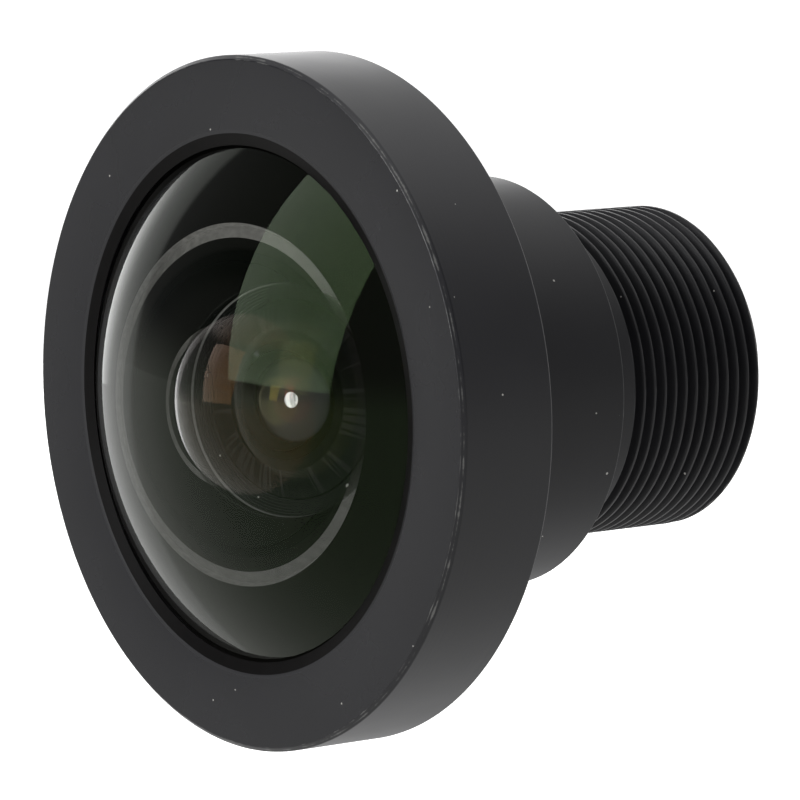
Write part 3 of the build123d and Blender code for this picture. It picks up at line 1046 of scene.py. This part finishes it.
class SetStudio(bpy.types.Operator):
    """Set up the floor, the backdrop, the lamps and the camera"""

    bl_idname = "lens_builder.studio"
    bl_label = "Studio"

    def execute(self, context):
        self.make_world(context)
        self.make_floor(context)
        self.make_lamps(context)
        self.make_camera(context)
        scene = context.scene
        scene.view_settings.view_transform = "Standard"
        scene.cycles.max_bounces = 24
        scene.cycles.transmission_bounces = 24
        scene.cycles.glossy_bounces = 8
        scene.cycles.use_denoising = True
        scene.cycles.caustics_reflective = False
        scene.cycles.caustics_refractive = False
        return {"FINISHED"}

    def make_world(self, context):
        world = bpy.data.worlds.new("studio")
        context.scene.world = world
        world.use_nodes = True
        tree = world.node_tree
        background = tree.nodes["Background"]
        direction = node(tree, "ShaderNodeTexCoord").outputs["Generated"]
        lit = group_node(tree, "Lit Side", {"Direction": direction}).outputs["Share"]
        parts = node(tree, "ShaderNodeSeparateXYZ", {"Vector": direction})
        overhead = smooth_step(tree, parts.outputs["Z"], 0.78, 0.90)
        risen = smooth_step(tree, parts.outputs["Z"], -0.12, 0.16)
        shade = mix_colour(tree, risen, (0.60, 0.60, 0.57, 1), (0.12, 0.12, 0.125, 1))
        light = math_node(tree, "MAXIMUM", lit, overhead)
        studio = mix_colour(tree, light, shade, (1, 1, 1, 1))
        path = node(tree, "ShaderNodeLightPath")
        seen = mix_colour(tree, path.outputs["Is Camera Ray"], studio, (1, 1, 1, 1))
        feed(tree, background, {"Color": seen, "Strength": 1.0})

    def make_floor(self, context):
        drop = context.scene.lens_studio.floor_drop
        half = context.scene.lens_studio.floor_half
        mesh = bpy.data.meshes.new("floor")
        corners = [(-half, -half), (half, -half), (half, half), (-half, half)]
        mesh.from_pydata([(x, y, -drop) for x, y in corners], [], [(0, 1, 2, 3)])
        floor = bpy.data.objects.new("floor", mesh)
        context.scene.collection.objects.link(floor)
        material, tree, shader, position = blank_material("pale floor")
        lit = group_node(tree, "Lit Side", {"Direction": position}).outputs["Share"]
        path = node(tree, "ShaderNodeLightPath")
        mirrored = math_node(
            tree, "MAXIMUM", path.outputs["Is Glossy Ray"], path.outputs["Is Transmission Ray"]
        )
        plain = mix_colour(tree, mirrored, (0.92, 0.92, 0.92, 1), (0, 0, 0, 1))
        glow = mix_colour(tree, lit, (0.62, 0.62, 0.60, 1), (1, 1, 1, 1))
        glow = mix_colour(tree, path.outputs["Is Camera Ray"], glow, (0.6, 0.6, 0.6, 1))
        seen = math_node(tree, "MAXIMUM", mirrored, path.outputs["Is Camera Ray"])
        feed(tree, shader, {"Base Color": plain, "Emission Color": glow, "Emission Strength": seen})
        feed(tree, shader, {"Roughness": 0.9, "Specular IOR Level": 0.0})
        mesh.materials.append(material)

    def make_lamp(self, context, name, place, width, height, radiance, soft_edge=False):
        aim = Vector((0, span("front_hood")[0], 0))
        turn, rise, distance = place
        away = outward(turn, rise)
        data = bpy.data.lights.new(name, "AREA")
        data.shape = "RECTANGLE"
        data.size = width
        data.size_y = height
        data.energy = radiance * math.pi * width * height
        if soft_edge:
            data.use_nodes = True
            tree = data.node_tree
            across = node(tree, "ShaderNodeNewGeometry").outputs["Parametric"]
            off_centre = node(
                tree, "ShaderNodeVectorMath", {0: across, 1: (0.5, 0.5, 0)}, operation="DISTANCE"
            )
            fade = smooth_step(tree, off_centre.outputs["Value"], 0.5, 0.1)
            tree.links.new(fade, tree.nodes["Emission"].inputs["Strength"])
        lamp = bpy.data.objects.new(name, data)
        lamp.location = aim + away * distance
        lamp.rotation_euler = away.to_track_quat("Z", "Y").to_euler()
        lamp.visible_camera = False
        context.scene.collection.objects.link(lamp)

    def make_lamps(self, context):
        studio = context.scene.lens_studio
        self.make_lamp(
            context,
            "front softbox",
            (studio.front_turn, studio.front_rise, studio.front_distance),
            studio.front_width,
            studio.front_height,
            studio.front_radiance,
        )
        self.make_lamp(
            context,
            "side softbox",
            (studio.side_turn, studio.side_rise, studio.side_distance),
            studio.side_size,
            studio.side_size,
            studio.side_radiance,
            soft_edge=True,
        )

    def make_camera(self, context):
        settings = context.scene.lens_studio
        turn, rise = settings.camera_turn, settings.camera_rise
        right = Vector((math.cos(turn), math.sin(turn), 0))
        back = outward(turn, rise)
        above = back.cross(right)
        target = Vector((0, span("front_hood")[0] + settings.aim_inset, 0))
        place = target + right * settings.aim_across + above * settings.aim_down
        place += back * settings.camera_distance
        data = bpy.data.cameras.new("camera")
        data.sensor_width = 36
        data.lens = settings.focal_share * data.sensor_width
        data.clip_start = 0.001
        camera = bpy.data.objects.new("camera", data)
        turned = Matrix((right, above, back)).transposed().to_4x4()
        camera.matrix_world = Matrix.Translation(place) @ turned
        context.scene.collection.objects.link(camera)
        context.scene.camera = camera


OPERATORS = (
    MakeHood,
    MakeFrontGlass,
    MakeInnerGlass,
    MakeBarrel,
    MakeBaffle,
    FinishSmallParts,
    SetStudio,
)
SETTINGS = {
    "lens_hood": HoodSizes,
    "lens_glass": GlassSizes,
    "lens_barrel": BarrelSizes,
    "lens_finishes": Finishes,
    "lens_studio": StudioSettings,
}


class LensPanel(bpy.types.Panel):
    """Lists the steps that build the lens, and its sizes and finishes"""

    bl_idname = "VIEW3D_PT_lens_builder"
    bl_label = "Fisheye Lens"
    bl_space_type = "VIEW_3D"
    bl_region_type = "UI"
    bl_category = "Lens"

    def draw(self, context):
        for operator in OPERATORS:
            self.layout.operator(operator.bl_idname)
        for name, group in SETTINGS.items():
            box = self.layout.box()
            for key in group.__annotations__:
                box.prop(getattr(context.scene, name), key)


def register():
    for group in SETTINGS.values():
        bpy.utils.register_class(group)
    for name, group in SETTINGS.items():
        setattr(bpy.types.Scene, name, PointerProperty(type=group))
    for operator in OPERATORS:
        bpy.utils.register_class(operator)
    bpy.utils.register_class(LensPanel)


def unregister():
    bpy.utils.unregister_class(LensPanel)
    for operator in reversed(OPERATORS):
        bpy.utils.unregister_class(operator)
    for name, group in SETTINGS.items():
        delattr(bpy.types.Scene, name)
        bpy.utils.unregister_class(group)


def main():
    register()
    bpy.ops.lens_builder.hood()
    bpy.ops.lens_builder.front_glass()
    bpy.ops.lens_builder.inner_glass()
    bpy.ops.lens_builder.barrel()
    bpy.ops.lens_builder.baffle()
    bpy.ops.lens_builder.small_parts()
    bpy.ops.lens_builder.studio()


if __name__ == "__main__":
    main()
